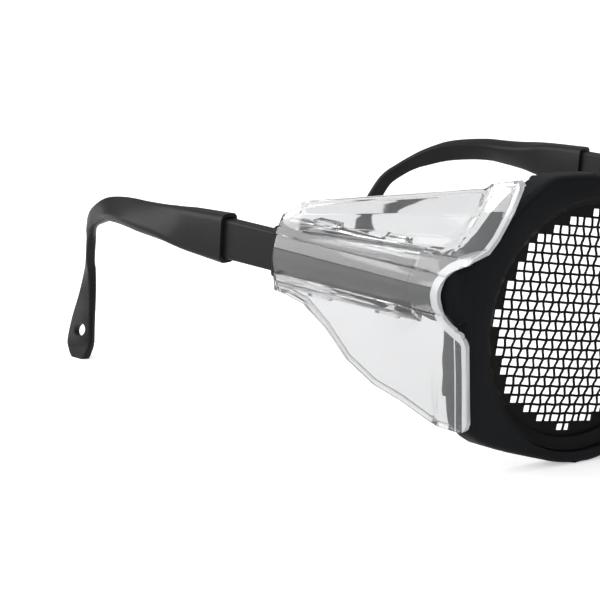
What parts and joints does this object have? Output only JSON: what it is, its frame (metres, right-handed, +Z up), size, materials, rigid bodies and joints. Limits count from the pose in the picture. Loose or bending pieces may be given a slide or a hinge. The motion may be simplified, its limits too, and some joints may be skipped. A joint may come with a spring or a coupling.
{
  "type": "wire mesh safety goggles",
  "caption": "Goggles with round woven wire lenses in a wrapped frame, clear side shields and folding temples whose ear pieces slide to length.",
  "frame": {"origin": "middle of the footprint, on the table the goggles stand on", "axes": "+X to the wearer's left, -Y the way the wearer looks, +Z up"},
  "size_m": [0.149, 0.144, 0.061],
  "materials": {
    "frame": "fine matte moulding, bluish black",
    "ring": "fine matte moulding, black",
    "mesh": "black coated steel wire",
    "screw": "turned",
    "temple": "satin dark grey",
    "shield": "clear, polished",
    "ear": "satin dark grey"
  },
  "bodies": {
    "front": {"front_frame": "frame", "lens_ring_left": "ring", "mesh_rim_left": "mesh", "mesh_weft_left": "mesh", "mesh_warp_left": "mesh", "hinge_screw_left": "screw", "lens_ring_right": "ring", "mesh_rim_right": "mesh", "mesh_weft_right": "mesh", "mesh_warp_right": "mesh", "hinge_screw_right": "screw"},
    "temple_left": {"temple_bar_left": "temple", "side_shield_left": "shield"},
    "temple_right": {"temple_bar_right": "temple", "side_shield_right": "shield"},
    "tip_left": {"ear_piece_left": "ear"},
    "tip_right": {"ear_piece_right": "ear"}
  },
  "joints": [
    {"name": "hinge_left", "type": "hinge", "parent": "front", "child": "temple_left", "pos_m": [0.06722, -0.03998, 0.0392], "axis": [0, -0.0279, 0.9996], "range_deg": [0, 87]},
    {"name": "hinge_right", "type": "hinge", "parent": "front", "child": "temple_right", "pos_m": [-0.06722, -0.03998, 0.0392], "axis": [0, 0.0279, -0.9996], "range_deg": [0, 72]},
    {"name": "length_left", "type": "slide", "parent": "temple_left", "child": "tip_left", "axis": [0, 0.9996, 0.0279], "range_m": [-0.008, 0.008]},
    {"name": "length_right", "type": "slide", "parent": "temple_right", "child": "tip_right", "axis": [0, 0.9996, 0.0279], "range_m": [-0.008, 0.008]}
  ]
}
